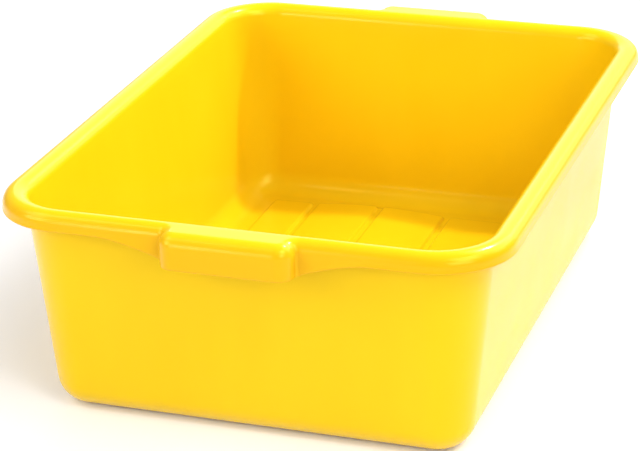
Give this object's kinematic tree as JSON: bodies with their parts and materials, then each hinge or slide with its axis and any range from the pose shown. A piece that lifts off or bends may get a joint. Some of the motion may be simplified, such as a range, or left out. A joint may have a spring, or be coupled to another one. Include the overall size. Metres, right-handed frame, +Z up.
{
  "type": "developing tray",
  "caption": "Deep moulded plastic tray with tapered walls, rounded corners, a rolled rim and a hand grip at each end.",
  "frame": {"origin": "centre of the base, on the surface the tray stands on", "axes": "+Z up out of the open top; Y along the long side, with a grip at each of the -Y and +Y ends; X along the short side"},
  "size_m": [0.389, 0.544, 0.1725],
  "materials": {
    "yellow_plastic": "smooth moulded polyethylene, semi-gloss"
  },
  "bodies": {
    "root": {"floor_panel": "yellow_plastic", "left_wall": "yellow_plastic", "right_wall": "yellow_plastic", "front_wall": "yellow_plastic", "rear_wall": "yellow_plastic", "front_left_corner": "yellow_plastic", "front_right_corner": "yellow_plastic", "rear_left_corner": "yellow_plastic", "rear_right_corner": "yellow_plastic", "left_rim": "yellow_plastic", "right_rim": "yellow_plastic", "front_left_rim": "yellow_plastic", "front_right_rim": "yellow_plastic", "rear_left_rim": "yellow_plastic", "rear_right_rim": "yellow_plastic", "front_left_rim_corner": "yellow_plastic", "front_right_rim_corner": "yellow_plastic", "rear_left_rim_corner": "yellow_plastic", "rear_right_rim_corner": "yellow_plastic", "front_grip": "yellow_plastic", "rear_grip": "yellow_plastic"}
  },
  "joints": []
}
